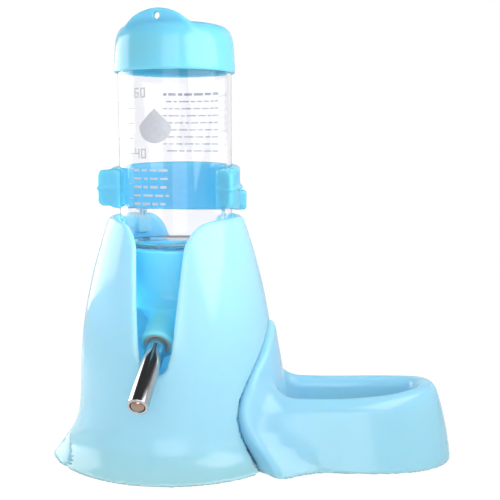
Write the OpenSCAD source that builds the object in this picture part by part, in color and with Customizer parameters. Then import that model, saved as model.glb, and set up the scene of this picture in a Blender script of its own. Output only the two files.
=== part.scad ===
// Small-pet drinking bottle standing in a hut-shaped holder with a food bowl.
// Origin: on the floor, on the upright axis that the hut and the bottle share.
// +Z is up, -Y is the front (the drinking spout), +X is the side of the food bowl.
// Angles called "turn" are measured from the front, positive towards the bowl.
// Names ending in _r are radii, _h heights, _w widths, _z heights above the floor.

/* [Hut] */
// Height of the hut's rim above the floor
hut_h = 81.2; // [80.8:0.1:81.3]
// Outer radius of the hut at its rim
rim_r = 23; // [22.9:0.1:23.4]
// Outer radius of the hut at its waist
waist_r = 34; // [33.8:0.1:34.5]
// Height of the waist, where the wall stands upright
waist_z = 27; // [26:0.5:28]
// Extra radius of the skirt where it meets the floor
skirt_flare = 11.5; // [11:0.25:12]
// Wall thickness of the hut
hut_wall = 2.4; // [2.2:0.1:2.5]
// Turn of the spout slot and of the rear gap from the front
slot_turn = -1.5; // [-2:0.5:0]
// Half width of the round bottom of the spout slot
slot_half_w = 4.3; // [4.3:0.1:4.6]
// Height of the centre of the slot's round bottom
slot_foot_z = 36.6; // [36.4:0.1:36.7]
// Half width of the gap between the two rear tongues
gap_half_w = 8.7; // [8:0.1:9]
// Height of the bottom of the rear gap
gap_foot_z = 67; // [66:0.5:68]

/* [Bowl tray] */
// Height of the collar wing that climbs the hut beside the bowl
wing_h = 45; // [44:0.5:46]
// How far the wing stands proud of the hut
wing_proud = 1.9; // [1.6:0.1:2.2]
// Distance from the bottle axis to the far end of the tray on the floor
tray_end = 95.4; // [94:0.2:97]
// Half width of the bowl at the floor
bowl_foot_w = 26; // [25:0.5:27]
// Half width over the crest of the bowl's rim
crest_w = 15.8; // [15:0.1:16.4]
// Height at which the plane of the bowl's rim would cross the bottle axis
rim_z = 18.6; // [18:0.1:19]
// Slope of the bowl's rim, rising away from the hut
rim_tilt = 4; // [3.5:0.1:4.3]
// Height of the bowl's floor
bowl_floor_z = 4.5; // [4:0.5:6]
// Distance from the bottle axis to the end of the foot opposite the bowl
lug_end = 40.2; // [39.8:0.1:40.6]
// Gap left along every seam between the tray and the hut
seam_gap = 0.3; // [0.25:0.05:0.4]

/* [Ring clip] */
// Inner radius of the ring that holds the bottle
ring_in = 19.65; // [19.6:0.05:19.8]
// Outer radius of the ring's band
ring_out = 22.2; // [22:0.1:22.4]
// Turn of the ring's end on the side of the bowl
ring_open = 53; // [50:1:56]
// Turn of the ring's other end, away from the bowl
ring_open_far = 63; // [60:1:66]
// Reach of the two end flanges from the bottle axis
flange_reach = 27; // [26:0.5:28]
// Height of the raised rib around the band
rib_z = 91; // [90:0.5:92]
// Turn of the two plug-in legs
leg_turn = 131; // [130:0.5:132]

/* [Bottle] */
// Outer radius of the clear bottle
bottle_r = 19.35; // [19.3:0.05:19.4]
// Wall thickness of the bottle
bottle_wall = 1.35; // [1.2:0.05:1.5]
// Height of the bottle's shoulder
bottle_foot_z = 71; // [70.9:0.05:71.1]
// Outer radius of the threaded neck
neck_r = 15.4; // [15.2:0.1:15.4]
// Rise of the bottle for one full turn out of the screw cap
thread_pitch = 3; // [2.5:0.25:3.5]

/* [Caps and spout] */
// Height of the lower rim of the top cap
cap_foot_z = 129.4; // [128.5:0.1:130]
// Radius of the hole in the hanging tab
hang_hole_r = 1.15; // [1:0.05:1.2]
// Radius of the hanging tab's arched edge
tab_r = 15.2; // [14.5:0.1:15.5]
// Turn of the hanging tab
tab_turn = -10.5; // [-13:0.5:-8]
// Downward slope of the drinking spout
spout_slope = 31; // [30.5:0.25:31.25]
// Turn of the spout from the front
spout_turn = -2.5; // [-2.5:0.25:-1]
// Distance along the spout from the bottle axis to the nozzle's mouth
mouth_reach = 31.5; // [31:0.25:32]
// Distance along the spout from the bottle axis to the tube's tip
tip_reach = 58; // [56:0.5:60]
// Outer radius of the steel tube
tube_r = 3.35; // [3.3:0.05:3.4]
// Radius of each steel ball
ball_r = 2.8; // [2.7:0.05:2.85]

/* [Hidden] */
$fn = 96;
blue = [0.55, 0.85, 0.95];
sides = [-1, 1];

// ---------- shared helpers ----------
function reversed(list) = [for (i = [len(list) - 1:-1:0]) list[i]];
// closes a half outline of [x, y] points with its mirror image in x
function mirrored(half) = concat(half, [for (p = reversed(half)) [-p[0], p[1]]]);
function clamp01(t) = min(1, max(0, t));
// rises from 0 to 1 along a quarter circle
function arc_rise(t) = 1 - sqrt(1 - t*t);
function heights(foot, top, steps) = [for (i = [0:steps]) foot + (top - foot)*i/steps];

// [radius, z] outline swept through an arc centred on a turn
module arc(turn, sweep)
    rotate([0, 0, turn - 90 - sweep/2])
        rotate_extrude(angle = sweep) children();

// both arcs at the legs of the ring clip
module leg_arcs(sweep)
    for (side = sides) arc(side*leg_turn, sweep) children();

// [half width, z] profile extruded forwards, between two distances from the axis
module wall_prism(profile, near = 15, far = 60)
    rotate([90, 0, 0]) translate([0, 0, near])
        linear_extrude(height = far - near) polygon(mirrored(profile));

// ---------- hut ----------
rim_gain = 0.2;       // extra wall thickness gained up to the rim
rim_in = rim_r - hut_wall - rim_gain;
gap_corner_r = 3;     // bottom corners of the rear gap
wing_half_w = 23.7;   // half width of the wing's opening where its foot flare ends
wing_flare = 6.2;     // extra half width at the floor
wing_bend_z = 14;     // the opening flares below this height and narrows above it
lug_half_w = 31;      // half width of the low foot's opening at the floor
lug_h = 5.8;          // height of that opening

// outer radius at a height: curved wall plus a skirt that dies away upwards
function hut_r(z) =
    (z < waist_z ? waist_r
        : waist_r - (waist_r - rim_r)*pow((z - waist_z)/(hut_h - waist_z), 1.75))
    + skirt_flare*exp(-max(z, 0)/5.2);

// Half widths of the wall's openings at a height
// spout slot: round bottom, quick easing, slow widening, flared mouth
function slot_w(z) = z < slot_foot_z
    ? sqrt(max(0, slot_half_w*slot_half_w - pow(slot_foot_z - z, 2)))
    : slot_half_w
        + 0.7*(1 - pow(1 - clamp01((z - slot_foot_z)/5), 2))
        + 2.65*pow(clamp01((z - slot_foot_z)/32.8), 0.85)
        + 11*arc_rise(clamp01((z - 69.5)/12));
// rear gap: rounded bottom corners and a flared mouth
function gap_w(z) = gap_half_w - gap_corner_r
    + sqrt(max(0, pow(gap_corner_r, 2) - pow(max(0, gap_foot_z + gap_corner_r - z), 2)))
    + 9*arc_rise(clamp01((z - 70)/11.8));
// opening on the bowl's side, filled by the wing
function wing_w(z) = z < wing_bend_z
    ? wing_half_w + wing_flare*pow((wing_bend_z - z)/wing_bend_z, 4)
    : wing_half_w*(1 - pow(clamp01((z - wing_bend_z)/(wing_h - wing_bend_z)), 2.2));
// opening opposite the bowl, filled by the low foot
function lug_w(z) = lug_half_w*pow(max(0, 1 - pow(max(0, z)/lug_h, 1.7)), 0.72);

// [half width, z] profiles; less is the gap taken off all round
function wing_profile(foot, top, steps = 40, less = 0) =
    [for (z = heights(foot, top, steps)) [max(0.01, wing_w(z) - less), z]];
function lug_profile(foot, top, less = 0) =
    [for (z = heights(foot, top, 30)) [max(0.01, lug_w(z + less) - less), z]];

// solid of revolution under the hut's outer curve, grown outwards
module hut_envelope(grow, foot, top)
    rotate_extrude() polygon(concat(
        [[0, foot]],
        [for (i = [0:30]) let (z = foot + (top - foot)*pow(i/30, 1.4)) [hut_r(z) + grow, z]],
        [[0, top]]));

module hut_wall_solid() {
    wall_zs = [for (i = [0:26]) (hut_h - 0.8)*pow(i/26, 1.5)];
    rotate_extrude() polygon(concat(
        [for (z = wall_zs) [hut_r(z), z]],
        // rounded rim
        [[rim_r - 0.25, hut_h - 0.25], [rim_r - 0.9, hut_h],
         [rim_in + 0.9, hut_h], [rim_in + 0.2, hut_h - 0.3]],
        [for (z = reversed(wall_zs)) [hut_r(z) - hut_wall - rim_gain*z/hut_h, z]]));
}

// inner bosses that take the legs of the ring clip
module leg_bosses() {
    boss_in = 20.1;
    boss_foot = 73.5;
    boss_top = 80.2;
    bend_z = 79;
    sink = 1.2;  // how far the boss stays under the hut's outer face
    leg_arcs(14) polygon([
        [boss_in, boss_foot], [hut_r(boss_foot) - sink, boss_foot],
        [hut_r(bend_z) - sink, bend_z], [rim_r - 1, boss_top], [boss_in, boss_top]]);
}

module hut_shell() color(blue) difference() {
    union() {
        hut_wall_solid();
        leg_bosses();
    }
    // front slot, open at the top
    rotate([0, 0, slot_turn])
        wall_prism([for (z = heights(slot_foot_z - slot_half_w + 0.02, 81.45, 60))
            [max(0.01, slot_w(z)), z]], near = 8);
    // gap between the rear tongues, open at the top
    rotate([0, 0, 180 + slot_turn])
        wall_prism([for (z = heights(gap_foot_z, 81.75, 30))
            [max(0.01, gap_w(z)), z]], near = 8);
    // openings for the wing and for the low foot
    rotate([0, 0, 90]) wall_prism(wing_profile(-0.5, wing_h));
    rotate([0, 0, -90]) wall_prism(lug_profile(-0.5, lug_h));
    // sockets for the legs
    leg_arcs(8.4) translate([20.75, 70]) square([1.6, 14]);
}

// ---------- tray with the bowl ----------
floor_t = 1.8;                 // floor plate thickness
bend_x = 52;                   // the bowl's outline rounds off beyond this distance
wing_top = wing_h - seam_gap;

// Slab with a bowl outline, straight from start to bend_x and rounded on to end.
// flare widens the start, from lead past it; inset narrows its first point.
module outline(half_w, end, power, thick, start, flare = 0, lead = 1, inset = 0) {
    straight = bend_x - start - lead;
    half = concat(
        [[start, 0.01], [start, half_w + flare - inset]],
        [for (i = [0:8]) let (x = start + lead + straight*i/8)
            [x, half_w + flare*pow(max(0, (bend_x - x)/straight), 1.2)]],
        [for (i = [1:22]) let (along = sin(90*i/22))
            [bend_x + (end - bend_x)*along,
             max(0.01, half_w*pow(max(0, 1 - pow(along, power)), 1/power))]]);
    linear_extrude(height = thick)
        polygon(concat(half, [for (p = reversed(half)) [p[0], -p[1]]]));
}

module bowl_outside() hull() {
    outline(bowl_foot_w, tray_end, 2.8, 0.8, start = 33, flare = 7.8, lead = 3.8, inset = 2.6);
    translate([0, 0, 8])
        outline(bowl_foot_w - 3, tray_end - 1.5, 2.6, 0.4,
                start = 29, flare = 3, lead = 3, inset = 0.5);
    // tilted rim: [depth below the rim plane, extra half width, distance short of tray_end]
    for (layer = [[4.2, 3.5, 3.6], [1.4, 2.4, 4.7], [0.4, 0.9, 6.3]])
        rotate([0, -rim_tilt, 0]) translate([0, 0, rim_z - layer[0]])
            outline(crest_w + layer[1], tray_end - layer[2], 2.3, 0.4, start = 33);
}

// rim sweeping up on to the wing at the front and at the back
module rim_sweeps()
    for (side = sides) hull()
        // [x, width, height] of the end blocks
        for (block = [[31, 4.8, 16], [46, 4.4, 8.2]])
            translate([block[0], side*(crest_w + 0.2) - block[1]/2, 12])
                cube([1, block[1], block[2]]);

// collar and wing against the hut
module wing() intersection() {
    hut_envelope(wing_proud, 0, wing_h);
    rotate([0, 0, 90]) wall_prism(wing_profile(0, wing_top, less = seam_gap));
}

// everything the hut's own wall fills
module hut_clearance() difference() {
    hut_envelope(seam_gap, -0.02, 60);
    rotate([0, 0, 90])
        wall_prism(wing_profile(-2, wing_top, steps = 44, less = seam_gap), far = 70);
}

// stack of bowl layers: [z, half width, end]
module bowl_layers(layers)
    hull() for (layer = layers)
        translate([0, 0, layer[0]]) outline(layer[1], layer[2], 2.2, 0.2, start = 30);

module bowl_cavity() difference() {
    bowl_layers([[bowl_floor_z, 10.6, 79.5], [bowl_floor_z + 3, 11.8, 81.3], [34, 13.6, 85]]);
    // keeps the bowl's end wall against the hut
    cylinder(r1 = 40.6, r2 = 34.4, h = 46);
}

// hollow underside of the bowl, open to the floor
module underside_hollow() difference() {
    hull() {
        translate([0, 0, -1]) outline(bowl_foot_w - 2.4, tray_end - 2.4, 2.5, 0.4, start = 48);
        translate([0, 0, 15]) outline(crest_w + 1.6, 88.2, 2.1, 0.2, start = 48);
    }
    bowl_layers([[bowl_floor_z - 2.2, 12.6, 81.4], [34, 15.8, 87.2]]);
}

// low foot opposite the bowl, with a sloping end
module low_foot() intersection() {
    slope_h = 9;
    difference() {
        hut_envelope(0.3, 0, 8.6);
        translate([0, 0, floor_t]) cylinder(r = 32.4, h = 10);
    }
    rotate([0, 0, -90]) wall_prism(lug_profile(0, lug_h - seam_gap, less = seam_gap));
    rotate([90, 0, 0]) translate([0, 0, -40]) linear_extrude(height = 80)
        polygon([[-lug_end, 0], [-lug_end + 4.5, slope_h], [0, slope_h], [0, 0]]);
}

module bowl_tray() color(blue) union() {
    difference() {
        union() {
            bowl_outside();
            rim_sweeps();
            wing();
        }
        hut_clearance();
        // room inside the hut
        hut_envelope(-1, floor_t, 60);
        bowl_cavity();
        underside_hollow();
    }
    // floor plate under the hut
    cylinder(r = 33, h = floor_t);
    translate([0, -23, 0]) cube([39.5, 46, floor_t]);
    // ring that centres the hut
    difference() {
        cylinder(r = 33.3, h = 6);
        translate([0, 0, -1]) cylinder(r = 31.6, h = 8);
    }
    low_foot();
}

// ---------- ring clip ----------
ring_sweep = 360 - ring_open - ring_open_far;

function rounded_rect(width, height, radius) = [
    // [centre x, centre y, start angle] of each corner
    for (corner = [[width - radius, height - radius, 0], [radius, height - radius, 90],
                   [radius, radius, 180], [width - radius, radius, 270]])
        for (i = [0:5]) let (angle = corner[2] + 18*i)
            [corner[0] + radius*cos(angle), corner[1] + radius*sin(angle)]];

module ring_band() intersection() {
    arc(ring_open + ring_sweep/2, ring_sweep) {
        translate([ring_in, 80]) square([ring_out - ring_in, 21]);
        // raised rib
        polygon([[ring_out - 0.5, rib_z - 1], [ring_out + 0.5, rib_z - 0.75],
                 [ring_out + 1, rib_z],
                 [ring_out + 0.5, rib_z + 0.75], [ring_out - 0.5, rib_z + 1]]);
    }
    // [y, z] side view: the band is deeper at the back than at its ends
    rotate([90, 0, 90]) translate([0, 0, -40]) linear_extrude(height = 80)
        polygon([[-40, 87.1], [21, 81.5], [40, 81.5], [40, 100.4], [-40, 95.6]]);
}

// upright flange at an end of the ring, crossed by a small ridge at the rib's height
module end_flange() {
    flange_in = 20.4;
    flange_t = 2.2;
    ridge = [3, 6.2, 1];
    rotate([0, -90, 180]) translate([84.9, flange_in, -flange_t/2])
        linear_extrude(height = flange_t)
            polygon(rounded_rect(12.2, flange_reach - flange_in, 2.4));
    translate([-ridge[0]/2, -flange_reach - 0.4, rib_z - ridge[2]/2]) cube(ridge);
}

module ring_clip() color(blue) union() {
    ring_band();
    for (side = sides) {
        rotate([0, 0, side > 0 ? ring_open : -ring_open_far])
            translate([side*0.8, 0, 0]) end_flange();
        // thumb lug on the side
        arc(side*114, 12)
            polygon([[21.6, 82.6], [24.4, 82.8], [25.1, 84],
                     [25.1, 88.4], [24.4, 89.5], [21.6, 89.7]]);
    }
    // legs that plug into the hut
    leg_arcs(7.8)
        polygon([[20.9, 74], [21.2, 73], [21.8, 73], [22.05, 74], [22.05, 84], [20.9, 84]]);
}

// ---------- bottle ----------
neck_foot_z = 57.7;
neck_in = neck_r - 1.5;
bore_r = bottle_r - bottle_wall;
thread_foot_z = 59.6;
thread_ridge = [[0, 0], [0.45, 0.4], [0.45, 1], [0, 1.4]];  // [proud of the neck, rise]

module bottle_body() color([0.9, 0.95, 1, 0.35]) rotate_extrude() polygon(concat(
    [[neck_in, neck_foot_z], [neck_r, neck_foot_z]],
    [for (i = [0:2]) for (p = thread_ridge)
        [neck_r + p[0], thread_foot_z + thread_pitch*i + p[1]]],
    // shoulder
    [[neck_r, bottle_foot_z], [bottle_r - 0.8, bottle_foot_z],
     [bottle_r - 0.2, bottle_foot_z + 0.25], [bottle_r, bottle_foot_z + 0.9]],
    // outside of the top
    [[bottle_r, 137.5], [bottle_r - 0.65, 140], [bottle_r - 2.15, 142],
     [bottle_r - 4.85, 143.2], [0, 143.6]],
    // inside of the top
    [[0, 142.3], [bottle_r - 5.1, 141.9], [bottle_r - 2.9, 141],
     [bore_r - 0.4, 139.2], [bore_r, 137]],
    // inside of the shoulder
    [[bore_r, bottle_foot_z + 2.2], [bore_r - 0.9, bottle_foot_z + 1.5],
     [neck_in, bottle_foot_z + 0.9]]));

// ---------- top cap ----------
cap_in = 19.45;
tab_foot_z = 143.6;
tab_top = 149.5;
tab_centre_z = tab_top - tab_r;

// arched upright plate, trimmed to the round of the cap
module hanging_tab() intersection() {
    rotate([0, 0, tab_turn]) translate([0, -13.6, tab_centre_z]) rotate([90, 0, 0])
        linear_extrude(height = 2) intersection() {
            circle(r = tab_r);
            translate([-16, tab_foot_z - tab_centre_z]) square([32, 12]);
        }
    cylinder(r = 18.9, h = 160);
}

module top_cap() color(blue) difference() {
    union() {
        // [radius, z]: up the outside, then down the inside
        rotate_extrude() polygon([
            [cap_in, cap_foot_z], [20.45, cap_foot_z], [20.7, cap_foot_z + 0.4],
            [20.3, 137], [20.05, 139.8], [19.6, 141.6], [18.8, 143.4], [17.8, 144.5],
            [16.4, 145.1], [14.6, 145.45], [0, 145.8],
            [0, 143.95], [14.6, 143.5], [17.35, 142.2], [18.85, 140.15], [cap_in, 137.6]]);
        hanging_tab();
    }
    rotate([0, 0, tab_turn]) translate([0, -10, 147]) rotate([90, 0, 0])
        cylinder(r = hang_hole_r, h = 10);
}

// ---------- screw cap and spout ----------
spout_z = 57;                        // height at which the spout meets the bottle axis
screw_top_z = bottle_foot_z - 0.35;
seat_start = 20;                     // distance along the spout to the grommet's seat
tube_in = 2.95;
lip_in = 2.45;                       // inner radius of the tube's lip
lip_depth = 0.5;
// the tip ball rests just behind the lip
ball_reach = tip_reach - lip_depth - sqrt(pow(ball_r + 0.03, 2) - lip_in*lip_in);

// Local frame of the spout, moved along it: +Z runs down the spout, away from the bottle
module along_spout(reach = 0)
    translate([0, 0, spout_z]) rotate([0, 0, spout_turn]) rotate([90 + spout_slope, 0, 0])
        translate([0, 0, reach]) children();

module screw_cap() color(blue) difference() {
    union() {
        rotate_extrude() polygon([[0, 54.5], [17.1, 54.5], [17.6, 55.4], [18.2, 60],
            [18.45, 70.1], [18.2, screw_top_z], [0, screw_top_z]]);
        // base blending into the nozzle
        hull() {
            translate([0, 0, 54]) cylinder(r = 16.9, h = 1, $fn = 48);
            along_spout(20) cylinder(r = 5.4, h = 0.6, $fn = 32);
        }
        along_spout() cylinder(r1 = 4.9, r2 = 5.8, h = mouth_reach);
    }
    // socket for the bottle's neck
    translate([0, 0, 56]) cylinder(r = 16.05, h = 20);
    // funnel inside
    hull() {
        translate([0, 0, 55]) cylinder(r = 12, h = 1.2, $fn = 48);
        along_spout(16) cylinder(r = 3.2, h = 0.5, $fn = 32);
    }
    // bore for the tube
    along_spout(12) cylinder(r = 3.6, h = 30);
    // seat of the grommet, open at the mouth
    along_spout(seat_start) cylinder(r = 4.3, h = 20);
}

// flat washer: [radius, z]
module neck_seal() color("ivory") rotate_extrude()
    polygon([[12.6, 56.1], [15.7, 56.1], [15.7, 57.6], [12.6, 57.6]]);

module tube_grommet() color("dimgray") {
    inside = tube_r + 0.03;
    outside = 4.26;
    start = seat_start + 0.2;
    end = mouth_reach - 0.4;
    along_spout() rotate_extrude()
        polygon([[inside, start], [outside, start], [outside, end], [inside, end]]);
}

// [radius, distance along the spout]: straight tube with a lip turned in at the tip
module spout_tube() color("silver") along_spout() rotate_extrude() polygon([
    [tube_in, 15.5], [tube_r, 15.5],
    [tube_r, tip_reach - 0.7], [tube_r - 0.2, tip_reach - 0.2], [tube_r - 0.5, tip_reach],
    [lip_in + 0.15, tip_reach], [lip_in, tip_reach - 0.2],
    [lip_in, tip_reach - lip_depth], [tube_in, tip_reach - 1.4]]);

module tip_ball() color("silver") along_spout(ball_reach) sphere(r = ball_r);

module inner_ball() color("silver")
    along_spout(ball_reach - 2*ball_r - 0.05) sphere(r = ball_r);

hut_shell();
bowl_tray();
ring_clip();
bottle_body();
top_cap();
screw_cap();
neck_seal();
tube_grommet();
spout_tube();
tip_ball();
inner_ball();
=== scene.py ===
"""A small-pet drinker: a clear bottle with a steel ball spout, held by a ring clip in a blue hut
whose tray carries a food bowl.

The bottle's axis is +Z through the origin and the floor is z = 0. The front is -Y, where the
spout points, and the bowl lies to the right, on +X. Shapes are worked out in millimetres and
written in metres. A "turn" is an angle in degrees about the axis, from the front to the bowl.
"""

import bpy
import math
import numpy as np
from functools import reduce
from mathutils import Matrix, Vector


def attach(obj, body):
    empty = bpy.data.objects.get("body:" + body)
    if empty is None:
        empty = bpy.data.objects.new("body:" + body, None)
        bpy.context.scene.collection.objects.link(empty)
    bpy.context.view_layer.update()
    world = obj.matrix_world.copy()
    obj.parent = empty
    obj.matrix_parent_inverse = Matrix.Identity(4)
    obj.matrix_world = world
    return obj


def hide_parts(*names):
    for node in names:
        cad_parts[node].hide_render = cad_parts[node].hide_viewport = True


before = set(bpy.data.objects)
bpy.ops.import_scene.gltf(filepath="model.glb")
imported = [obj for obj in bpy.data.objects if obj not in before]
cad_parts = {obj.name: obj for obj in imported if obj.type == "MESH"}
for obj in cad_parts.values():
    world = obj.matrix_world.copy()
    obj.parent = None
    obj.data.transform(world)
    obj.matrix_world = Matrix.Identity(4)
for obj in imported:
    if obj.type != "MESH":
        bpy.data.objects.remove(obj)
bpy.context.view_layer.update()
RAD = math.pi / 180.0


# ------------------------------------------------------------------ field tools
# A field gives roughly the distance in millimetres to a surface, negative inside.
def join(a, b, soft):
    """Union, with the crease filled over a width of about soft."""
    near = np.maximum(soft - np.abs(a - b), 0.0) / soft
    return np.minimum(a, b) - near * near * soft * 0.25


def meet(a, b, soft):
    """Intersection with a rounded edge."""
    return -join(-a, -b, soft)


def carve(shape, cutter, soft):
    """Shape less cutter, with a rounded edge."""
    return meet(shape, -cutter, soft)


def overlap(*fields):
    """Sharp intersection."""
    return reduce(np.maximum, fields)


def ease(start, end, value):
    part = np.clip((value - start) / (end - start), 0.0, 1.0)
    return part * part * (3 - 2 * part)


def spin(a, b, degrees):
    c, s = math.cos(degrees * RAD), math.sin(degrees * RAD)
    return a * c - b * s, a * s + b * c


def turned(x, y, turn):
    """Distances along and across the direction of a turn."""
    s, c = math.sin(turn * RAD), math.cos(turn * RAD)
    return x * s - y * c, x * c + y * s


def polygon(x, y, points):
    """Signed distance to a closed polygon."""
    points = np.asarray(points, float)
    nearest = np.full(x.shape, 1e12)
    inside = np.zeros(x.shape, bool)
    for (x0, y0), (x1, y1) in zip(points, np.roll(points, -1, axis=0)):
        run, rise = x1 - x0, y1 - y0
        length2 = run * run + rise * rise
        if length2 < 1e-12:
            continue
        from_x, from_y = x - x0, y - y0
        part = np.clip((from_x * run + from_y * rise) / length2, 0.0, 1.0)
        off_x, off_y = from_x - part * run, from_y - part * rise
        nearest = np.minimum(nearest, off_x * off_x + off_y * off_y)
        if rise != 0:
            spans = (y0 <= y) != (y1 <= y)
            inside ^= spans & (from_x - from_y * (run / rise) < 0)
    dist = np.sqrt(nearest)
    return np.where(inside, -dist, dist)


def unit(field, x, y, z, **sizes):
    """A field divided by the length of its gradient, so it reads about one per millimetre."""
    reach = 0.05
    here = field(x, y, z, **sizes)
    slope_x = (field(x + reach, y, z, **sizes) - here) / reach
    slope_y = (field(x, y + reach, z, **sizes) - here) / reach
    slope_z = (field(x, y, z + reach, **sizes) - here) / reach
    length = np.sqrt(slope_x * slope_x + slope_y * slope_y + slope_z * slope_z)
    return here / np.maximum(length, 0.15)


# ------------------------------------------------------------------ surface from a field
BLOCK = 6  # grid cells along one side of a coarse block
CHUNK = 400000  # points worked out at a time
CUBE = [(i, j, k) for i in (0, 1) for j in (0, 1) for k in (0, 1)]
# Cells around a grid edge that runs along x, y and z, in the order of the face's corners.
AROUND = [[(0, 0, 0), (0, 1, 0), (0, 1, 1), (0, 0, 1)],
          [(0, 0, 0), (0, 0, 1), (1, 0, 1), (1, 0, 0)],
          [(0, 0, 0), (1, 0, 0), (1, 1, 0), (0, 1, 0)]]


def to_cells(blocks):
    return blocks.repeat(BLOCK, 0).repeat(BLOCK, 1).repeat(BLOCK, 2)


def sample_field(field, low, high, step):
    """Field values on a grid, worked out only in the blocks that may hold the surface."""
    low = np.asarray(low, float) - 2.0 * step
    high = np.asarray(high, float) + 2.0 * step
    blocks = np.ceil((high - low) / (BLOCK * step)).astype(int)
    centres = [low[a] + (np.arange(blocks[a]) + 0.5) * BLOCK * step for a in range(3)]
    x, y, z = np.meshgrid(*centres, indexing="ij")
    coarse = field(x.ravel(), y.ravel(), z.ravel()).reshape(x.shape)
    live = to_cells(np.abs(coarse) < 0.866 * BLOCK * step * 1.5 + 1.4)
    nodes = np.zeros(tuple(blocks * BLOCK + 1), bool)
    ni, nj, nk = live.shape
    for i, j, k in CUBE:
        nodes[i:i + ni, j:j + nj, k:k + nk] |= live
    values = np.pad(to_cells(np.where(coarse < 0, -9.0, 9.0)), ((0, 1),) * 3, mode="edge")
    index = np.argwhere(nodes)
    fine = np.empty(len(index))
    for start in range(0, len(index), CHUNK):
        at = low + index[start:start + CHUNK] * step
        fine[start:start + CHUNK] = field(at[:, 0], at[:, 1], at[:, 2])
    values[nodes] = fine
    return values, low


def surface_nets(values, low, step):
    """One vertex in each cell the surface crosses, and a quad round each crossed grid edge."""
    inside = values < 0
    count = np.zeros(tuple(np.array(inside.shape) - 1), np.int8)
    ni, nj, nk = count.shape
    for i, j, k in CUBE:
        count += inside[i:i + ni, j:j + nj, k:k + nk]
    active = (count > 0) & (count < 8)
    ids = np.full(active.shape, -1, np.int64)
    index = np.argwhere(active)
    ids[active] = np.arange(len(index))
    at_corner = np.stack([values[tuple((index + corner).T)] for corner in CUBE], 1)
    total = np.zeros((len(index), 3))
    crossings = np.zeros(len(index))
    cube = np.array(CUBE, float)
    for i in range(8):
        for j in range(i + 1, 8):
            if np.abs(cube[i] - cube[j]).sum() != 1:
                continue
            start, end = at_corner[:, i], at_corner[:, j]
            hit = (start < 0) != (end < 0)
            part = (start[hit] / (start[hit] - end[hit]))[:, None]
            total[hit] += cube[i] + part * (cube[j] - cube[i])
            crossings[hit] += 1
    points = low + step * (index + total / crossings[:, None])
    quads = []
    for axis, around in enumerate(AROUND):
        near, far = [slice(1, -1)] * 3, [slice(1, -1)] * 3
        near[axis], far[axis] = slice(None, -1), slice(1, None)
        start, end = inside[tuple(near)], inside[tuple(far)]
        crossed = start != end
        edges = np.argwhere(crossed)
        quad = np.stack([ids[tuple((edges + cell).T)] for cell in around], 1)
        flip = ~start[crossed]
        quad[flip] = quad[flip][:, ::-1]
        quads.append(quad)
    return points, np.concatenate(quads)


def gradient(field, points):
    """Gradient and mean value from four samples at the corners of a small tetrahedron."""
    reach = 0.03
    slope = np.zeros_like(points)
    total = np.zeros(len(points))
    for way in np.array([[1, -1, -1], [-1, -1, 1], [-1, 1, -1], [1, 1, 1]], float):
        value = field(*(points[:, i] + reach * way[i] for i in range(3)))
        slope += value[:, None] * way
        total += value
    return slope / (4 * reach), total / 4


def settle(field, points, step, rounds):
    """Move the points onto the surface."""
    for _ in range(rounds):
        slope, value = gradient(field, points)
        move = value[:, None] * slope / np.maximum((slope * slope).sum(1), 0.04)[:, None]
        length = np.linalg.norm(move, axis=1)[:, None]
        points = points - move * np.minimum(1.0, 0.6 * step / np.maximum(length, 1e-9))
    return points


def relax(points, quads, weight):
    """Move each point towards the mean of its neighbours."""
    ahead = [quads[:, (i + 1) % 4] for i in range(4)]
    here = [quads[:, i] for i in range(4)]
    start, end = np.concatenate(here + ahead), np.concatenate(ahead + here)
    count = np.maximum(np.bincount(start, minlength=len(points)), 1)
    mean = np.stack([np.bincount(start, points[end, i], len(points)) / count
                     for i in range(3)], 1)
    return points + weight * (mean - points)


def solid(field, low, high, step):
    points, quads = surface_nets(*sample_field(field, low, high, step), step)
    points = settle(field, points, step, 2)
    for weight, rounds in ((0.5, 2), (0.35, 3)):
        points = settle(field, relax(points, quads, weight), step, rounds)
    return points, quads


# ------------------------------------------------------------------ mesh tools
def mesh_object(name, points, faces, smooth=True):
    """An object from points in millimetres. Faces are an array, or a list of mixed sizes."""
    mesh = bpy.data.meshes.new(name)
    if isinstance(faces, np.ndarray):
        mesh.vertices.add(len(points))
        mesh.vertices.foreach_set("co", (np.asarray(points, np.float32) / 1000.0).ravel())
        mesh.loops.add(faces.size)
        mesh.loops.foreach_set("vertex_index", faces.astype(np.int32).ravel())
        mesh.polygons.add(len(faces))
        starts = np.arange(0, faces.size, faces.shape[1], dtype=np.int32)
        mesh.polygons.foreach_set("loop_start", starts)
        mesh.update(calc_edges=True)
    else:
        mesh.from_pydata([tuple(np.asarray(p) / 1000.0) for p in points], [], faces)
    mesh.validate()
    mesh.polygons.foreach_set("use_smooth", np.full(len(mesh.polygons), smooth))
    mesh.update()
    ob = bpy.data.objects.new(name, mesh)
    bpy.context.scene.collection.objects.link(ob)
    return ob


def give(ob, mat, body, slot, node=None):
    """Material, moving body, slot (not used) and the CAD node the object stands in for."""
    ob.data.materials.append(mat)
    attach(ob, body)
    if node:
        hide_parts(node)


def curve(points, steps=4):
    """Catmull-Rom curve through open points."""
    pts = np.asarray(points, float)
    pts = np.vstack([2 * pts[0] - pts[1], pts, 2 * pts[-1] - pts[-2]])
    out = []
    for i in range(1, len(pts) - 2):
        before, start, end, after = pts[i - 1:i + 3]
        for j in range(steps):
            t = j / steps
            out.append(0.5 * ((2 * start) + (end - before) * t
                              + (2 * before - 5 * start + 4 * end - after) * t * t
                              + (3 * start - before - 3 * end + after) * t ** 3))
    out.append(pts[-2])
    return np.array(out)


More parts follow.
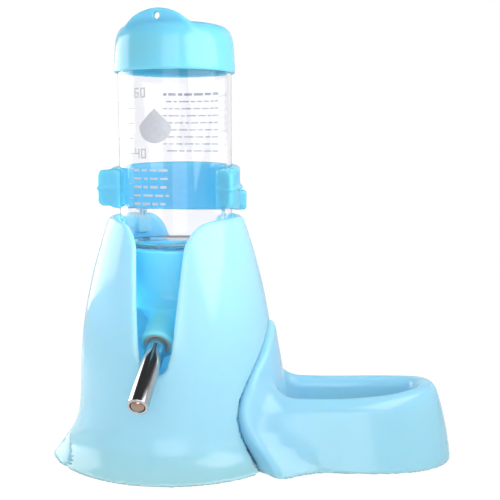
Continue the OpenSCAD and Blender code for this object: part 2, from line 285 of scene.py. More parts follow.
def rounded(points, steps=5):
    """Closed (r, z, corner radius) outline with its corners rounded."""
    out = []
    for i, (r, z, radius) in enumerate(points):
        corner = np.array((r, z), float)
        if radius <= 0:
            out.append(corner)
            continue
        back = np.array(points[i - 1][:2], float) - corner
        ahead = np.array(points[(i + 1) % len(points)][:2], float) - corner
        back_len, ahead_len = np.linalg.norm(back), np.linalg.norm(ahead)
        back, ahead = back / back_len, ahead / ahead_len
        half = math.acos(float(back @ ahead)) / 2
        trim = min(radius / math.tan(half), 0.46 * back_len, 0.46 * ahead_len)
        radius = trim * math.tan(half)
        middle = back + ahead
        centre = corner + middle / np.linalg.norm(middle) * (radius / math.sin(half))
        first, last = corner + back * trim - centre, corner + ahead * trim - centre
        angle = math.atan2(first[1], first[0])
        sweep = math.atan2(last[1], last[0]) - angle
        sweep = (sweep + math.pi) % (2 * math.pi) - math.pi
        for j in range(steps + 1):
            a = angle + sweep * j / steps
            out.append(centre + radius * np.array([math.cos(a), math.sin(a)]))
    return out


def lathe(outline, segments):
    """Closed solid of revolution of an outline given anticlockwise in (r, z)."""
    angles = np.arange(segments) * 2 * math.pi / segments
    points, rings = [], []
    for r, z in outline:
        if r < 1e-6:
            rings.append([len(points)])
            points.append((0, 0, z))
        else:
            rings.append(range(len(points), len(points) + segments))
            points += [(r * math.cos(a), r * math.sin(a), z) for a in angles]
    faces = []
    for low, high in zip(rings, rings[1:] + rings[:1]):
        if len(low) == 1 and len(high) == 1:
            continue
        for j in range(segments):
            k = (j + 1) % segments
            if len(low) == 1:
                faces.append((low[0], high[k], high[j]))
            elif len(high) == 1:
                faces.append((low[j], low[k], high[0]))
            else:
                faces.append((low[j], low[k], high[k], high[j]))
    return np.array(points), faces


# ------------------------------------------------------------------ spout frame
SPOUT_TILT, SPOUT_TURN, SPOUT_Z = 121, 2.5, 57.0  # from +Z, to the left of the front, origin


def spout_out(points):
    """From the spout's own frame, +Z down the spout, to the main frame."""
    x, y, z = points.T
    y, z = spin(y, z, SPOUT_TILT)
    x, y = spin(x, y, -SPOUT_TURN)
    return np.stack([x, y, z + SPOUT_Z], 1)


def spout_in(x, y, z):
    x, y = spin(x, y, SPOUT_TURN)
    y, z = spin(y, z - SPOUT_Z, -SPOUT_TILT)
    return x, y, z


# ------------------------------------------------------------------ hut outlines
HUT_H, WALL = 81.2, 2.4
BODY_R, TAPER, TAPER_Z, TAPER_POWER = 34.0, 11.0, 27.0, 1.75  # narrows above TAPER_Z
FLARE, FLARE_FALL = 11.5, 5.2  # extra radius at the floor, and how fast it dies away
LEG_TURN = 131  # the clip's legs stand in slotted bosses, this far to each side
SLOT_R, SLOT_Z = 4.3, 36.6  # round foot of the front slot, and its centre
GAP_HALF, GAP_R, GAP_Z = 8.7, 3, 70  # rear gap, and its rounded lower corners
WING_HALF, WAIST_Z, WING_TOP = 23.7, 14, 45
LUG_HALF, LUG_TOP = 31, 5.8


def hut_profile(z):
    """Outer radius, and the cosine of the wall's slope."""
    fall = np.exp(-np.maximum(z, 0.0) / FLARE_FALL)
    part = np.clip((z - TAPER_Z) / (HUT_H - TAPER_Z), 0.0, 1.4)
    slope = (-TAPER * TAPER_POWER / (HUT_H - TAPER_Z) * part ** (TAPER_POWER - 1)
             - FLARE / FLARE_FALL * fall)
    return BODY_R - TAPER * part ** TAPER_POWER + FLARE * fall, 1.0 / np.sqrt(1.0 + slope * slope)


def flare(z, start, rise):
    """Quarter-circle flare, from 0 at start to 1 at start + rise."""
    part = min(1.0, max(0.0, (z - start) / rise))
    return 1 - math.sqrt(1 - part * part)


def slot_half(z):
    up = z - SLOT_Z
    return (SLOT_R + 0.7 * (1 - (1 - min(1.0, up / 5)) ** 2)
            + 2.65 * min(1.0, up / 32.8) ** 0.85 + 11 * flare(z, 69.5, 12))


def gap_half(z):
    corner = math.sqrt(GAP_R ** 2 - max(0.0, GAP_Z - z) ** 2)
    return GAP_HALF - GAP_R + corner + 9 * flare(z, GAP_Z, 11.8)


def wing_half(z):
    if z < WAIST_Z:
        return WING_HALF + 6.2 * ((WAIST_Z - z) / WAIST_Z) ** 4
    return WING_HALF * (1 - ((z - WAIST_Z) / (WING_TOP - WAIST_Z)) ** 2.2)


def lug_half(z):
    return LUG_HALF * (1 - (z / LUG_TOP) ** 1.7) ** 0.72


def both_sides(half):
    return half + [(-across, z) for across, z in reversed(half)]


def widths(half_width, heights):
    return [(half_width(z), z) for z in heights]


# Closed outlines of the hut's openings, as (across, z).
SLOT = both_sides(
    [(SLOT_R * math.sin(a * RAD), SLOT_Z - SLOT_R * math.cos(a * RAD)) for a in range(0, 91, 10)]
    + widths(slot_half, np.linspace(37, 42, 8)) + widths(slot_half, np.linspace(43.5, 81.4, 30))
    + [(24, 82.4), (40, 84), (40, 100)])
GAP = both_sides([(0, 67), (2.8, 67)] + widths(gap_half, np.linspace(67.05, 81.6, 22))
                 + [(23, 82.6), (40, 84), (40, 100)])
WING = both_sides([(40, -12), (30.4, -2)] + widths(wing_half, np.linspace(0, WING_TOP, 40)))
LUG = both_sides([(40, -12), (31.6, -2)] + widths(lug_half, np.linspace(0, LUG_TOP, 30)))


# ------------------------------------------------------------------ hut
def hut(x, y, z):
    rad = np.hypot(x, y)
    wall, lean = hut_profile(z)
    inner = wall - WALL - 0.2 * z / HUT_H
    shape = meet((rad - wall) * lean, (inner - rad) * lean, 0.25)
    for side in (-1, 1):
        along, across = turned(x, y, side * LEG_TURN)
        boss = meet(meet(np.abs(across) - 2.9, 19.75 - rad, 0.6),
                    overlap(np.abs(z - 76.9) - 3.3, rad - wall + 1.2), 0.8)
        shape = join(shape, overlap(boss, 5 - along), 1.2)
    shape = meet(shape, z - HUT_H, 1.9)
    shape = meet(shape, -z, 0.12)
    # front slot and rear gap, then the bowl side's opening and the lug's on the left
    along, across = turned(x, y, -1.5)
    shape = carve(shape, overlap(polygon(across, z, SLOT), 8 - along), 1.7)
    shape = carve(shape, overlap(polygon(across, z, GAP), 8 + along), 1.7)
    shape = carve(shape, overlap(polygon(y, z, WING), 15 - x), 0.7)
    shape = carve(shape, overlap(polygon(y, z, LUG), 15 + x), 0.7)
    for side in (-1, 1):
        along, across = turned(x, y, side * LEG_TURN)
        socket = overlap(np.abs(across) - 1.57, np.abs(rad - 21.55) - 0.8, 70 - z, 5 - along)
        shape = carve(shape, socket, 0.25)
    return shape


# ------------------------------------------------------------------ tray and bowl
BOWL_X = 52  # middle of the bowl, where it is widest
BOWL_FLOOR = 4.5
FLOOR_T = 1.8
OUTER_SOFT = 4.6
# Extra half width where the bowl runs into the hut, at each height.
ROOT_Z = [0, 3, 8, 12, 20, 26]
ROOT_EXTRA = [8.2, 6.2, 3.4, 2.2, 1.0, 0.4]


def egg(x, y, half_width, tip_x, power):
    """Half of a superellipse, from the bowl's middle to its right tip."""
    along = np.clip((x - BOWL_X) / (tip_x - BOWL_X), 0, 3)
    across = np.abs(y) / half_width
    return ((along ** power + across ** power) ** (1 / power) - 1) * half_width


def bowl_side(x, y, z):
    half = 18.3 + 7.7 * np.clip((20.0 - z) / 20.0, -0.3, 1.1)
    extra = np.interp(z, ROOT_Z, ROOT_EXTRA)
    half = half + extra * np.clip((BOWL_X - x) / 15, 0, 1.4) ** 1.3
    level = np.clip(z, -1, 32)
    tip_x = 95.3 - 0.09 * level - 0.0057 * level * level
    return egg(x, y, half, tip_x, power=2.8 - 0.02 * np.clip(z, 0, 24))


def bowl_cavity(x, y, z):
    up = (z - BOWL_FLOOR) / 29.5
    return egg(x, y, 10.6 + 3.0 * up, 79.5 + 5.7 * up, power=2.35)


def tray(x, y, z):
    rad = np.hypot(x, y)
    side_y = np.abs(y)
    wall, lean = hut_profile(z)
    top = z - 21.5 - 0.0017 * np.maximum(x - 40.0, 0.0) ** 2
    outer = meet(unit(bowl_side, x, y, z), top, OUTER_SOFT)
    bowl = meet(outer, 24 - x, 2.0)
    cavity = overlap(meet(unit(bowl_cavity, x, y, z), BOWL_FLOOR - z, 5.0), 31 - x)
    bowl = carve(bowl, cavity, 4.2)
    # the wing stands proud of the hut's wall, and further out as a cone behind the bowl
    cone = 42.17 - 0.177 * z
    proud = wall + 1.9
    reach = proud + (np.maximum(cone - proud, 0) * (1 - ease(10.5, 18.5, side_y))
                     * ease(0.0, 6.0, z))
    wing = overlap((rad - reach) * lean, z - 46, 8 - x)
    shape = join(bowl, wing, 4.0 + 5.0 * ease(9.5, 15.0, side_y))
    on_hut = np.where(x > 5, side_y * wall / np.maximum(rad, 1.0), 60.0)
    shape = meet(shape, polygon(on_hut, z, WING) + 0.12, 1.7)
    # the room inside the hut, and the hut's own wall beside the wing
    shape = carve(shape, overlap((rad - wall + 1.0) * lean, FLOOR_T - z), 0.4)
    # hollow underside
    hollow = overlap(outer + 2.4, 2.3 - cavity, 48 - x, z - 17.5)
    shape = carve(shape, hollow, 0.6)
    shape = meet(shape, -z, 0.45)
    # floor inside the hut, its bridge to the bowl, and its upright rim
    level = np.abs(z - FLOOR_T / 2) - FLOOR_T / 2
    plate = meet(rad - 33.0, level, 0.5)
    bridge = overlap(side_y - 23, level, x - 39.5, -x)
    rim = meet(np.abs(rad - 32.45) - 0.85, np.abs(z - 3.0) - 3.0, 0.4)
    # low lug on the left
    lug = meet((rad - wall - 0.1) * lean, polygon(y, z, LUG) + 0.08, 0.8)
    lug = meet(lug, (-40.2 - x + 0.5 * z) * 0.894, 0.7)
    lug = meet(lug, z - 6.2, 0.5)
    lug = overlap(lug, 10 + x)
    lug = carve(lug, overlap(rad - 32.4, FLOOR_T - z), 0.4)
    lug = meet(lug, -z, 0.3)
    return reduce(np.minimum, (shape, plate, bridge, rim, lug))


# ------------------------------------------------------------------ ring clip
# Side view of the band as (y, z): it is deepest at the rear.
BAND = [(-40, 87.1), (21, 81.5), (40, 81.5), (40, 100.4), (-40, 95.6)]
RIB_Z = 91.0
CLIP_ENDS = ((-1, -63), (1, 53))  # side and turn of the flanges beside the front opening
FLANGE_CORNER = 2.2


def clip(x, y, z):
    rad = np.hypot(x, y)
    shape = meet(np.abs(rad - 20.925) - 1.275, polygon(y, z, BAND), 1.1)
    rib = np.hypot(np.maximum(rad - 22.2, 0), z - RIB_Z) - 0.95
    shape = join(shape, overlap(rib, 20.6 - rad), 0.6)
    ends = [(side, *turned(x, y, turn)) for side, turn in CLIP_ENDS]
    left, right = [np.where(along > -6, -side * across, -9) for side, along, across in ends]
    shape = meet(shape, np.where(x > 0, right, left), 0.8)
    for side, along, across in ends:
        across = across - side * 0.8
        out = np.abs(along - 23.7) - (3.3 - FLANGE_CORNER)
        up = np.abs(z - RIB_Z) - (6.1 - FLANGE_CORNER)
        plate = (np.hypot(np.maximum(out, 0), np.maximum(up, 0))
                 + np.minimum(np.maximum(out, up), 0) - FLANGE_CORNER)
        flange = meet(plate, np.abs(across) - 1.15, 1.0)
        ridge = np.hypot(np.maximum(np.abs(along - 24.1) - 2.9, 0), z - RIB_Z) - 0.55
        ridge = meet(ridge, np.abs(across) - 1.45, 0.3)
        shape = join(shape, join(flange, ridge, 0.4), 1.4)
        # rounded lug on the band
        along, across = turned(x, y, side * 114)
        spans = (np.abs(rad - 23.2) - 0.9, np.abs(z - 86.1) - 2.5, np.abs(across) - 1.6)
        out, up, wide = [np.maximum(span, 0) for span in spans]
        lug = np.sqrt(out ** 2 + up ** 2 + wide ** 2) - 1.0
        shape = join(shape, overlap(lug, 5 - along), 0.8)
        # leg down into the hut's boss
        along, across = turned(x, y, side * LEG_TURN)
        leg = meet(np.abs(rad - 21.475) - 0.575, np.abs(across) - 1.45, 0.5)
        leg = meet(leg, np.abs(z - 78.6) - 5.6, 0.8)
        shape = join(shape, overlap(leg, 5 - along), 0.5)
    return shape


# ------------------------------------------------------------------ caps
# Outlines as (r, z), carried a little past the axis.
CAP_OUT = curve([(20.42, 129.45), (20.58, 131.5), (20.3, 136.6), (20.08, 139.2), (19.65, 141.4),
                 (18.9, 143.15), (17.8, 144.4), (16.3, 145.05), (14.4, 145.4), (9, 145.68),
                 (0, 145.8)])
CAP_IN = curve([(0, 143.95), (10, 143.9), (14.6, 143.5), (17.35, 142.2), (18.85, 140.15),
                (19.45, 137.6), (19.45, 133)])
CAP = [*CAP_OUT, (-3, 145.8), (-3, 143.95), *CAP_IN, (19.45, 129.45)]
TAB_OUT = 14.6  # the tab's distance from the axis


def top_cap(x, y, z):
    rad = np.hypot(x, y)
    shape = meet(polygon(rad, z, CAP), 129.4 - z, 0.6)
    along, across = turned(x, y, -10.5)
    tab = meet(np.hypot(across, z - 134.3) - 15.2, np.abs(along - TAB_OUT) - 1.0, 0.9)
    tab = meet(overlap(tab, 142.6 - z), rad - 18.9, 1.5)
    hole = overlap(np.hypot(across, z - 147.0) - 1.15, np.abs(along - TAB_OUT) - 6)
    return carve(join(shape, tab, 1.3), hole, 0.35)


SCREW_TOP = 70.65
NOZZLE_END = 31.5  # down the spout
SCREW = [(-3, 54.5), (17.1, 54.5), (17.6, 55.4), (18.2, 60), (18.45, 70.1),
         (18.45, SCREW_TOP), (-3, SCREW_TOP)]
# The funnel's outside and inside: ring at the top, bend in the front edge, then the tilted end.
FUNNEL_OUT = dict(ring_r=16.9, ring_z=54.3, bend_y=-19.9, bend_z=51.3, end_y=-14.3, end_z=42.1)
FUNNEL_IN = dict(ring_r=12.0, ring_z=55.0, bend_y=-15.8, bend_z=51.2, end_y=-12.5, end_z=45.8)


def funnel(x, y, z, ring_r, ring_z, bend_y, bend_z, end_y, end_z):
    """Level round slices from a level ring to the tilted end of a tube."""
    x, y = spin(x, y, SPOUT_TURN)
    level = np.clip(z, end_z - 5, ring_z)
    back = ring_r - (ring_r - end_y) / (ring_z - end_z) * (ring_z - level)
    front = np.where(level > bend_z,
                     -ring_r + (bend_y + ring_r) / (ring_z - bend_z) * (ring_z - level),
                     bend_y + (end_y - bend_y) / (bend_z - end_z) * (bend_z - level))
    return np.hypot(x, y - (back + front) / 2) - (back - front) / 2


def screw_cap(x, y, z):
    rad = np.hypot(x, y)
    spout_x, spout_y, down = spout_in(x, y, z)
    off = np.hypot(spout_x, spout_y)
    body = meet(polygon(rad, z, SCREW), z - SCREW_TOP, 0.7)
    cone = meet(unit(funnel, x, y, z, **FUNNEL_OUT), z - 57.5, 1.0)
    nozzle = off - 4.9 - 0.9 * np.clip(down, 0, NOZZLE_END) / NOZZLE_END
    nozzle = overlap(meet(nozzle, down - NOZZLE_END, 1.1), -down)
    shape = join(join(body, cone, 3.0), nozzle, 4.5)
    shape = meet(shape, z - SCREW_TOP, 0.7)
    shape = carve(shape, overlap(rad - 16.05, 56.0 - z), 0.4)
    shape = carve(shape, overlap(unit(funnel, x, y, z, **FUNNEL_IN), z - 56.2), 0.5)
    shape = carve(shape, overlap(off - 3.6, 12 - down), 0.3)
    return carve(shape, overlap(off - 4.3, 20 - down), 0.5)


# ------------------------------------------------------------------ node tools
def feed(node, inputs):
    """Link each input to a socket, or set its value. Colours are given as RGB."""
    for key, value in inputs.items():
        socket = node.inputs[key]
        if isinstance(value, bpy.types.NodeSocket):
            node.id_data.links.new(value, socket)
        else:
            socket.default_value = (*value, 1) if socket.type == "RGBA" else value


def add(tree, kind, inputs=None, **settings):
    node = tree.nodes.new("ShaderNode" + kind)
    for key, value in settings.items():
        setattr(node, key, value)
    feed(node, inputs or {})
    return node


def noise(tree, place, scale, detail, roughness=0.5):
    return add(tree, "TexNoise", {"Scale": scale, "Detail": detail, "Roughness": roughness,
                                  "Vector": place}).outputs["Fac"]


def remap(tree, value, low, high, from_low=0.3, from_high=0.7, **settings):
    return add(tree, "MapRange", {"From Min": from_low, "From Max": from_high, "To Min": low,
                                  "To Max": high, "Value": value}, **settings).outputs["Result"]


def mix_colours(tree, share, first, second):
    return add(tree, "Mix", {0: share, 6: first, 7: second}, data_type="RGBA").outputs[2]


def mix_shaders(tree, share, first, second):
    return add(tree, "MixShader", {0: share, 1: first, 2: second}).outputs[0]


def mottle(tree, pattern, base, other):
    return mix_colours(tree, remap(tree, pattern, 0.0, 1.0), base, other)


def bump(tree, shader, height, strength, distance):
    node = add(tree, "Bump", {"Strength": strength, "Distance": distance, "Height": height})
    feed(shader, {"Normal": node.outputs["Normal"]})


def darker(base, factor):
    return tuple(c * factor for c in base)


def material(name):
    mat = bpy.data.materials.new(name)
    mat.use_nodes = True
    tree = mat.node_tree
    tree.nodes.clear()
    output = add(tree, "OutputMaterial")
    shader = add(tree, "BsdfPrincipled")
    feed(output, {"Surface": shader.outputs[0]})
    return mat, tree, output, shader, add(tree, "TexCoord").outputs["Object"]


# ------------------------------------------------------------------ materials
def plastic(name, base, scatter=(0.3, 0.8, 1.0), rough=0.13):
    """Glossy moulded plastic: faint flow marks, convex edges painted paler as a painted highlight,
    uneven gloss, orange-peel bump.
    """
    mat, tree, _, shader, place = material(name)
    flow = noise(tree, place, scale=22.0, detail=3.0, roughness=0.55)
    colour = mottle(tree, flow, base, darker(base, 0.955))
    # painted highlight: convex, rounded edges are mixed towards a paler copy of the base, as if
    # catching light
    pointed = add(tree, "NewGeometry").outputs["Pointiness"]
    edge = remap(tree, pointed, low=0.0, high=0.35, from_low=0.50, from_high=0.56)
    colour = mix_colours(tree, edge, colour, tuple(min(1.0, c * 1.12 + 0.04) for c in base))
    scuff = noise(tree, place, scale=160.0, detail=5.0, roughness=0.6)
    gloss = remap(tree, scuff, rough - 0.035, rough + 0.06)
    peel = noise(tree, place, scale=260.0, detail=2.0, roughness=0.4)
    bump(tree, shader, peel, strength=0.10, distance=0.00006)
    feed(shader, {"Base Color": colour, "Roughness": gloss, "IOR": 1.5,
                  "Subsurface Weight": 0.7, "Subsurface Radius": scatter,
                  "Subsurface Scale": 0.005})
    return mat


def clear_plastic(name):
    """Slightly hazy clear wall that lets shadow rays through."""
    mat, tree, output, shader, place = material(name)
    haze = noise(tree, place, scale=60.0, detail=3.0)
    colour = mottle(tree, haze, (0.985, 0.985, 1.0), (0.955, 0.955, 0.985))
    fine = noise(tree, place, scale=300.0, detail=3.0)
    gloss = remap(tree, fine, 0.015, 0.05)
    wave = noise(tree, place, scale=35.0, detail=1.0, roughness=0.3)
    bump(tree, shader, wave, strength=0.05, distance=0.0002)
    feed(shader, {"Base Color": colour, "Roughness": gloss, "IOR": 1.32,
                  "Specular IOR Level": 0.85, "Transmission Weight": 1.0})
    through = add(tree, "BsdfTransparent", {0: (0.96, 0.965, 0.98)}).outputs[0]
    shadow = add(tree, "LightPath").outputs["Is Shadow Ray"]
    feed(output, {"Surface": mix_shaders(tree, shadow, shader.outputs[0], through)})
    return mat


def grained(name, base, tone, scale, detail, rough, strength, distance, metal=False):
    """One noise drives the colour, from base to base times tone, the roughness and the bump."""
    mat, tree, _, shader, place = material(name)
    if metal:
        place = add(tree, "Mapping", {"Vector": place}).outputs[0]
        feed(shader, {"Metallic": 1.0})
    grain = noise(tree, place, scale, detail, roughness=0.6)
    feed(shader, {"Base Color": mottle(tree, grain, base, darker(base, tone)),
                  "Roughness": remap(tree, grain, *rough)})
    bump(tree, shader, grain, strength, distance)
    return mat


STEEL_GRAIN = dict(tone=0.82, scale=240.0, detail=4.0, strength=0.08, distance=0.00004, metal=True)
RUBBER_GRAIN = dict(tone=0.8, scale=220.0, detail=4.0, rough=(0.55, 0.75), strength=0.3,
                    distance=0.0001)
INK_GRAIN = dict(tone=1.1, scale=500.0, detail=3.0, rough=(0.35, 0.5), strength=0.1,
                 distance=0.00003)

HUT_M = plastic("hut_blue", (0.385, 0.71, 0.85), scatter=(0.35, 0.8, 1.0))
# painted shade: the tray is the hut's blue plastic with a darker base, for the less lit bowl front
TRAY_SHADED_M = plastic("tray_blue_painted_shade", (0.345, 0.67, 0.84), scatter=(0.35, 0.8, 1.0))
# painted shade: the clip's blue plastic gets a darker base because the clip sits less lit
CLIP_SHADED_M = plastic("clip_blue_painted_shade", (0.14, 0.54, 0.72), rough=0.16)
CAP_M = plastic("cap_blue", (0.185, 0.58, 0.81))
SCREW_M = plastic("screw_cap_blue", (0.20, 0.70, 0.95), rough=0.2)
CLEAR_M = clear_plastic("clear_plastic")
STEEL_M = grained("polished_steel", (0.60, 0.60, 0.62), rough=(0.07, 0.16), **STEEL_GRAIN)
# painted reflection: the steel balls get a warm copper-brown base colour that stands in for
# reflected warm surroundings
BALL_WARM_REFLECTION_M = grained("ball_steel_warm_reflection", (0.46, 0.31, 0.24), rough=(0.04, 0.13), **STEEL_GRAIN)
RUBBER_M = grained("grey_rubber", (0.42, 0.50, 0.53), **RUBBER_GRAIN)
SEAL_M = grained("washer_rubber", (0.62, 0.63, 0.62), **RUBBER_GRAIN)
INK_M = grained("print_ink", (0.52, 0.53, 0.57), **INK_GRAIN)

# ------------------------------------------------------------------ moulded pieces
# Name, field, low and high corners of its box, grid step, then what give() takes.
MOULDED = [
    ("hut", hut, (-46, -46, 0), (46, 46, 81.5), 0.68,
     HUT_M, "stand", "hut_plastic", "hut_shell"),
    ("tray", tray, (-43, -36, 0), (96, 36, 46), 0.68,
     TRAY_SHADED_M, "stand", "tray_plastic", "bowl_tray"),
    ("ring", clip, (-28, -28, 72.5), (28, 28, 100), 0.5,
     CLIP_SHADED_M, "clip", "clip_plastic", "ring_clip"),
    ("cap", top_cap, (-21, -21, 129), (21, 21, 150), 0.5,
     CAP_M, "bottle", "cap_plastic", "top_cap"),
    ("spout_cap", screw_cap, (-19, -33, 34), (19, 19, 71), 0.55,
     SCREW_M, "drinker", "screw_cap_plastic", "screw_cap"),
]
for name, field, low, high, step, *role in MOULDED:
    give(mesh_object(name, *solid(field, low, high, step)), *role)

# ------------------------------------------------------------------ turned pieces
# Outlines are (r, z, corner radius). On the spout, z runs down the spout.
BOTTLE_R, INSIDE_R, NECK_R, NECK_IN_R, RIDGE_R = 19.35, 18.0, 15.4, 13.9, 15.85
TUBE_R, BORE_R, MOUTH_R, TUBE_END = 3.35, 2.95, 2.45, 58.0
BALL_R, BALL_PITCH = 2.8, 5.65
GROMMET_IN, GROMMET_R = 3.38, 4.26

ridges = []
for i in range(3):
    z = 59.6 + 3 * i
    ridges += [(NECK_R, z, 0.2), (RIDGE_R, z + 0.4, 0.2), (RIDGE_R, z + 1.0, 0.2),
               (NECK_R, z + 1.4, 0.2)]
BOTTLE = rounded([
    (NECK_IN_R, 57.7, 0.4), (NECK_R, 57.7, 0.4), *ridges, (NECK_R, 71.0, 0.5),
    (BOTTLE_R, 71.0, 1.3), (BOTTLE_R, 138.2, 3.0), (17.6, 142.3, 3.0), (14.2, 143.3, 2.0),
    (0, 143.6, 0), (0, 142.3, 0), (14.0, 142.0, 2.0), (17.0, 140.6, 2.5),
    (INSIDE_R, 137.2, 3.0), (INSIDE_R, 72.35, 1.2), (NECK_IN_R, 72.2, 1.2)])
TUBE = rounded([
    (BORE_R, 15.5, 0.1), (TUBE_R, 15.5, 0.1), (TUBE_R, TUBE_END, 0.75),
    (MOUTH_R, TUBE_END, 0.2), (MOUTH_R, 57.45, 0.1), (BORE_R, 56.6, 0.3)], steps=6)
WASHER = rounded([(12.6, 56.1, 0.3), (15.7, 56.1, 0.3), (15.7, 57.6, 0.3), (12.6, 57.6, 0.3)])
GROMMET = rounded([(GROMMET_IN, 20.2, 0.1), (GROMMET_R, 20.2, 0.3),
                   (GROMMET_R, 31.1, 0.25), (GROMMET_IN, 31.1, 0.25)])


def ball(centre):
    angles = [i * math.pi / 40 for i in range(41)]
    return [(BALL_R * math.sin(a), centre - BALL_R * math.cos(a)) for a in angles]


# the first ball rests just short of the tube's narrowed mouth
ball_at = TUBE_END - 0.5 - math.sqrt((BALL_R + 0.03) ** 2 - MOUTH_R ** 2)
# Name, outline, segments, whether it lies along the spout, then what give() takes.
TURNED = [
    ("bottle", BOTTLE, 128, False, CLEAR_M, "bottle", "clear_plastic", "bottle_body"),
    ("steel_tube", TUBE, 96, True, STEEL_M, "drinker", "steel", "spout_tube"),
    ("valve_ball", ball(ball_at), 64, True, BALL_WARM_REFLECTION_M, "tip", "steel", "tip_ball"),
    ("second_ball", ball(ball_at - BALL_PITCH), 64, True, BALL_WARM_REFLECTION_M, "inner", "steel", "inner_ball"),
    ("washer", WASHER, 96, False, SEAL_M, "seal", "seal_rubber", "neck_seal"),
    ("grommet", GROMMET, 96, True, RUBBER_M, "drinker", "seal_rubber", "tube_grommet"),
]
for name, outline, segments, on_spout, *role in TURNED:
    points, faces = lathe(outline, segments)
    give(mesh_object(name, spout_out(points) if on_spout else points, faces), *role)

# ------------------------------------------------------------------ print on the bottle
INK_IN, INK_OUT = BOTTLE_R + 0.015, BOTTLE_R + 0.05
TICK_TURN, TICK_Z, TICK_PITCH = -37.5, 78.1, 4.9
FIGURE_W, FIGURE_H, STROKE = 1.9, 3.2, 0.5
DROP_TURN, DROP_Z, DROP_HALF = -9.0, 111.2, 5.6


def strip(columns):
    """Thin closed ink solid from columns of (angle in radians, low z, high z)."""
    points, faces = [], []
    for angle, low, high in columns:
        for r, z in ((INK_IN, low), (INK_IN, high), (INK_OUT, high), (INK_OUT, low)):
            points.append((r * math.sin(angle), -r * math.cos(angle), z))
    end = 4 * (len(columns) - 1)
    for i in range(0, end, 4):
        for j in range(4):
            k = (j + 1) % 4
            faces.append((i + j, i + k, i + 4 + k, i + 4 + j))
    faces.append((0, 3, 2, 1))
    faces.append((end, end + 1, end + 2, end + 3))
    return points, faces


def bar(turn, z, wide, high):
    half = wide / 2 / BOTTLE_R
    first, last = turn * RAD - half, turn * RAD + half
    count = max(2, int(wide / 0.7) + 1)
    return strip([(first + (last - first) * i / (count - 1), z - high / 2, z + high / 2)
                  for i in range(count)])


def print_object(name, parts):
    points, faces = [], []
    for part_points, part_faces in parts:
        start = len(points)
        points += part_points
        faces += [tuple(i + start for i in face) for face in part_faces]
    give(mesh_object(name, points, faces, smooth=False), INK_M, "bottle", "clear_plastic")


# Seven-bar figures: level bars by height, upright bars by (side, height).
FIGURES = {"0": "abcdef", "2": "abged", "4": "fgbc", "6": "afgedc"}
LEVEL = {"a": 1, "g": 0, "d": -1}
UPRIGHT = {"b": (1, 1), "c": (1, -1), "e": (-1, -1), "f": (-1, 1)}


def figure(digit, turn, z):
    out = []
    shift = (FIGURE_W - STROKE) / 2 / BOTTLE_R / RAD
    for letter in FIGURES[digit]:
        if letter in LEVEL:
            rise = LEVEL[letter] * (FIGURE_H / 2 - STROKE / 2)
            out.append(bar(turn, z + rise, FIGURE_W, STROKE))
        else:
            side, up = UPRIGHT[letter]
            out.append(bar(turn + side * shift, z + up * FIGURE_H / 4, STROKE, FIGURE_H / 2))
    return out


def scale_parts():
    parts = []
    for i in range(9):
        long = i % 4 == 1
        parts.append(bar(TICK_TURN + (1.5 if long else 0.0), TICK_Z + TICK_PITCH * i,
                         3.2 if long else 2.0, 0.28))
    for tens, tick in (("2", 1), ("4", 5), ("6", 9)):
        z = TICK_Z + TICK_PITCH * tick
        parts += figure(tens, -28.5, z) + figure("0", -21.0, z)
    return parts


def drop_shape():
    """Round below and pointed above."""
    columns = []
    for i in range(41):
        across = -DROP_HALF + 2 * DROP_HALF * i / 40
        part = abs(across) / DROP_HALF
        bulge = math.sqrt(1 - part ** 2)
        high = DROP_Z + 4.6 * (1 - part) ** 1.1 + 1.2 * bulge
        columns.append((DROP_TURN * RAD + across / BOTTLE_R,
                        DROP_Z - 5.2 * bulge - 0.01, high + 0.02))
    return strip(columns)


def fractions(seed):
    while True:
        seed = (seed * 73 + 41) % 997
        yield seed / 997.0


def rule_rows(draws, turn, top_z, pitch, heights, start, last_start, end, shortest, spread, gap):
    """Rows of short bars of drawn lengths. start to end is measured across from the turn."""
    parts = []
    for row, high in enumerate(heights):
        across = start
        while across < last_start:
            length = min(shortest + spread * next(draws), end - across)
            at = turn + (across + length / 2) / BOTTLE_R / RAD
            parts.append(bar(at, top_z - pitch * row, length, high))
            across += length + gap
    return parts


print_object("print_scale", scale_parts())
print_object("print_drop", [drop_shape()])
draws = fractions(7)
print_object("print_rules_front", rule_rows(
    draws, turn=-14, top_z=97.2, pitch=2.75, heights=[0.85, 0.7, 0.85, 0.7, 0.85],
    start=-6.6, last_start=5.6, end=6.4, shortest=1.1, spread=2.6, gap=0.8))
print_object("print_rules_rear", rule_rows(
    draws, turn=171, top_z=123.5, pitch=2.55, heights=[0.9] + [0.5] * 8,
    start=-12.0, last_start=11.0, end=12.0, shortest=1.2, spread=2.8, gap=0.75))


# ------------------------------------------------------------------ floor
def floor_material():
    """Pale matt floor that looks nearly white to the camera and through the clear wall."""
    mat, tree, output, shader, place = material("pale_floor")
    patches = noise(tree, place, scale=3.0, detail=2.0)
    colour = mottle(tree, patches, (0.90, 0.90, 0.90), (0.88, 0.88, 0.885))
    feed(shader, {"Base Color": colour, "Roughness": 0.9})
    lift = add(tree, "Emission", {"Strength": 1.07}).outputs[0]
    rays = add(tree, "LightPath").outputs
    seen = add(tree, "Math", {0: rays["Is Camera Ray"], 1: rays["Is Transmission Ray"]},
               operation="MAXIMUM").outputs[0]
    share = add(tree, "Math", {0: seen, 1: 0.9}, operation="MULTIPLY").outputs[0]
    feed(output, {"Surface": mix_shaders(tree, share, shader.outputs[0], lift)})
    return mat


FLOOR = [(-6000, -3000, -0.02), (6000, -3000, -0.02), (6000, 9000, -0.02), (-6000, 9000, -0.02)]
floor = mesh_object("floor", FLOOR, np.array([[0, 1, 2, 3]]), smooth=False)
floor.data.materials.append(floor_material())


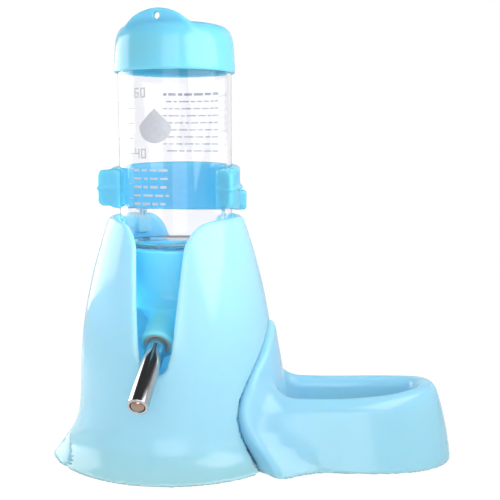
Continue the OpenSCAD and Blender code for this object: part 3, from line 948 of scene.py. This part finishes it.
# ------------------------------------------------------------------ world
def build_world():
    """A different backdrop for each kind of ray."""
    world = bpy.data.worlds.new("studio")
    bpy.context.scene.world = world
    world.use_nodes = True
    tree = world.node_tree
    tree.nodes.clear()
    output = add(tree, "OutputWorld")

    def backdrop(colour, strength):
        return add(tree, "Background", {"Color": colour, "Strength": strength}).outputs[0]

    rays = add(tree, "LightPath").outputs
    way = add(tree, "TexCoord").outputs["Generated"]
    height = add(tree, "SeparateXYZ", {0: way}).outputs["Z"]
    rearward = add(tree, "VectorMath", {0: way, 1: (-0.12, 0.99, 0.0)},
                   operation="DOT_PRODUCT").outputs["Value"]
    smooth = dict(interpolation_type="SMOOTHSTEP")
    sky = backdrop((0.95, 0.98, 1.0), 0.68)
    # reflections darken overhead; refractions see a white card at the rear
    ceiling = backdrop((0.95, 0.97, 1.0), remap(tree, height, low=0.80, high=0.05,
                                                from_low=0.25, from_high=0.72, **smooth))
    card = backdrop((1.0, 1.0, 1.0), remap(tree, rearward, low=0.25, high=1.0,
                                           from_low=0.66, from_high=0.92, **smooth))
    white = backdrop((1.0, 1.0, 1.0), 1.0)
    for kind, seen in (("Glossy", ceiling), ("Transmission", card), ("Camera", white)):
        sky = mix_shaders(tree, rays[f"Is {kind} Ray"], sky, seen)
    feed(output, {"Surface": sky})


build_world()


# ------------------------------------------------------------------ lights
def softbox(name, turn, dist, low, high, wide, radiance, colour=(1, 1, 1)):
    """A rectangular light from z low to high that faces the bottle's axis."""
    light = bpy.data.lights.new(name, "AREA")
    light.shape = "RECTANGLE"
    light.size, light.size_y = wide / 1000, (high - low) / 1000
    light.energy = radiance * math.pi * light.size * light.size_y
    light.color = colour
    ob = bpy.data.objects.new(name, light)
    angle = turn * RAD
    at = Vector((dist * math.sin(angle), -dist * math.cos(angle), (low + high) / 2)) / 1000
    ob.location = at
    ob.rotation_euler = (Vector((0, 0, at.z)) - at).to_track_quat("-Z", "Z").to_euler()
    bpy.context.scene.collection.objects.link(ob)


def glow(name, place, watts):
    """Light that has come through the blue wall, kept out of sight."""
    light = bpy.data.lights.new(name, "POINT")
    light.energy = watts
    light.shadow_soft_size = 4.0 / 1000
    light.color = (0.45, 0.82, 1.0)
    ob = bpy.data.objects.new(name, light)
    ob.location = Vector(place) / 1000
    ob.visible_camera = False
    ob.visible_glossy = False
    ob.visible_transmission = False
    bpy.context.scene.collection.objects.link(ob)


softbox("key", turn=62, dist=150, low=93, high=250, wide=150, radiance=3.3)
softbox("left", turn=-110, dist=210, low=10, high=250, wide=140, radiance=2.9,
        colour=(0.99, 0.99, 1.0))
softbox("front_fill", turn=4, dist=700, low=60, high=500, wide=420, radiance=2.0)
glow("glow_left", place=(-17, -17, 52), watts=0.0022)
glow("glow_right", place=(17, -17, 52), watts=0.0022)
glow("glow_low", place=(0, 6, 34), watts=0.008)
glow("glow_high", place=(0, -2, 84), watts=0.02)

# ------------------------------------------------------------------ camera
YAW, PITCH = 7 * RAD, 7 * RAD  # to the left of straight back, and down
lens = bpy.data.cameras.new("camera")
lens.lens, lens.sensor_width = 62.7, 36.0
lens.clip_start = 0.01
camera = bpy.data.objects.new("camera", lens)
camera.location = (0.0624, -0.2976, 0.106)
look = Vector((-math.sin(YAW) * math.cos(PITCH), math.cos(YAW) * math.cos(PITCH),
               -math.sin(PITCH)))
camera.rotation_euler = look.to_track_quat("-Z", "Y").to_euler()
bpy.context.scene.collection.objects.link(camera)
bpy.context.scene.camera = camera
bpy.context.scene.view_settings.view_transform = "Standard"

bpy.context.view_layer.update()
